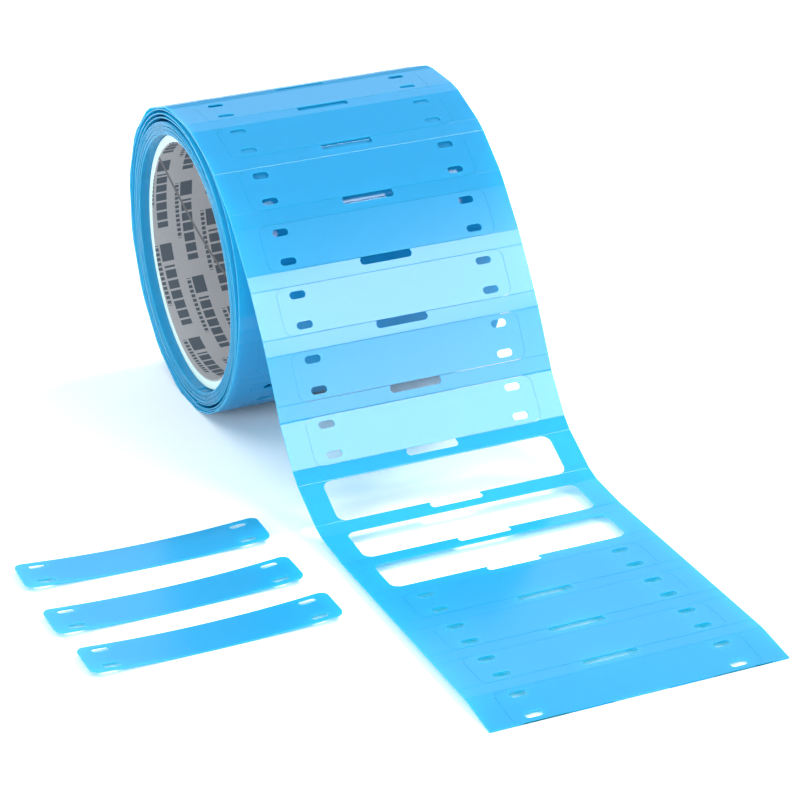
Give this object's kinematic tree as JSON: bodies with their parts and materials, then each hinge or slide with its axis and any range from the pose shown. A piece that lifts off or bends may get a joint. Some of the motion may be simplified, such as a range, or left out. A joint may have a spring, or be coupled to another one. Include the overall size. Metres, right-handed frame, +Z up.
{
  "type": "roll of die-cut cable marker tags",
  "caption": "Roll of blue plastic marker tags in a die-cut carrier strip on a board core, its lead pulled out over the front in an S with emptied windows, and loose tags beside it.",
  "frame": {"origin": "middle of the core's bore, on the roll's axis and half way along it", "axes": "+X along the roll's axis, +Z up, the lead runs off towards -Y"},
  "size_m": [0.1769, 0.2785, 0.0991],
  "materials": {
    "strip": "satin film",
    "tag": "satin film",
    "winding": "satin film edges",
    "board": "matt board",
    "liner": "printed paper",
    "wrap": "matt paper",
    "tape": "clear adhesive tape"
  },
  "bodies": {
    "web": {"web_rails_01": "strip", "web_rails_02": "strip", "web_rails_03": "strip", "web_rails_04": "strip", "web_rails_05": "strip", "web_rails_06": "strip", "web_rails_07": "strip", "web_rails_08": "strip", "web_rails_09": "strip", "web_rails_10": "strip", "web_rails_11": "strip", "web_rails_12": "strip", "web_rails_13": "strip", "web_rails_14": "strip", "web_bar_01": "strip", "web_bar_02": "strip", "web_bar_03": "strip", "web_bar_04": "strip", "web_bar_05": "strip", "web_bar_06": "strip", "web_bar_07": "strip", "web_bar_08": "strip", "web_bar_09": "strip", "web_bar_10": "strip", "web_bar_11": "strip", "web_bar_12": "strip", "web_bar_13": "strip", "loose_turn_bars": "strip", "loose_turn_rails": "strip", "loose_turn_tags": "tag"},
    "roll": {"core_board": "board", "core_liner": "liner", "core_wrap": "wrap", "start_tape": "tape", "wound_turns": "winding"},
    "tag_01": {"tag_01": "tag"},
    "tag_02": {"tag_02": "tag"},
    "tag_03": {"tag_03": "tag"},
    "tag_04": {"tag_04": "tag"},
    "tag_05": {"tag_05": "tag"},
    "tag_06": {"tag_06": "tag"},
    "tag_07": {"tag_07": "tag"},
    "tag_08": {"tag_08": "tag"},
    "tag_09": {"tag_09": "tag"},
    "tag_10": {"tag_10": "tag"},
    "tag_11": {"tag_11": "tag"},
    "loose_tag_1": {"loose_tag_1": "tag"},
    "loose_tag_2": {"loose_tag_2": "tag"},
    "loose_tag_3": {"loose_tag_3": "tag"}
  },
  "joints": [
    {"name": "roll_spin", "type": "hinge", "parent": "web", "child": "roll", "pos_m": [0, 0, 0], "axis": [1, 0, 0], "continuous": true},
    {"name": "tag_01_peel", "type": "slide", "parent": "web", "child": "tag_01", "axis": [0, -0.0344, 0.9994], "range_m": [0, 0.012]},
    {"name": "tag_02_peel", "type": "slide", "parent": "web", "child": "tag_02", "axis": [0, -0.34, 0.9404], "range_m": [0, 0.012]},
    {"name": "tag_03_peel", "type": "slide", "parent": "web", "child": "tag_03", "axis": [0, -0.6126, 0.7904], "range_m": [0, 0.012]},
    {"name": "tag_04_peel", "type": "slide", "parent": "web", "child": "tag_04", "axis": [0, -0.7655, 0.6435], "range_m": [0, 0.012]},
    {"name": "tag_05_peel", "type": "slide", "parent": "web", "child": "tag_05", "axis": [0, -0.8293, 0.5588], "range_m": [0, 0.012]},
    {"name": "tag_06_peel", "type": "slide", "parent": "web", "child": "tag_06", "axis": [0, -0.8839, 0.4678], "range_m": [0, 0.012]},
    {"name": "tag_07_peel", "type": "slide", "parent": "web", "child": "tag_07", "axis": [0, -0.793, 0.6092], "range_m": [0, 0.012]},
    {"name": "tag_08_peel", "type": "slide", "parent": "web", "child": "tag_08", "axis": [0, 0, 1], "range_m": [0, 0.012]},
    {"name": "tag_09_peel", "type": "slide", "parent": "web", "child": "tag_09", "axis": [0, 0, 1], "range_m": [0, 0.012]},
    {"name": "tag_10_peel", "type": "slide", "parent": "web", "child": "tag_10", "axis": [0, 0, 1], "range_m": [0, 0.012]},
    {"name": "tag_11_peel", "type": "slide", "parent": "web", "child": "tag_11", "axis": [0, -0.1313, 0.9913], "range_m": [0, 0.012]},
    {"name": "loose_tag_1_lift", "type": "slide", "parent": "web", "child": "loose_tag_1", "axis": [0, 0, 1], "range_m": [0, 0.03]},
    {"name": "loose_tag_2_lift", "type": "slide", "parent": "web", "child": "loose_tag_2", "axis": [0, 0, 1], "range_m": [0, 0.03]},
    {"name": "loose_tag_3_lift", "type": "slide", "parent": "web", "child": "loose_tag_3", "axis": [0, 0, 1], "range_m": [0, 0.03]}
  ]
}
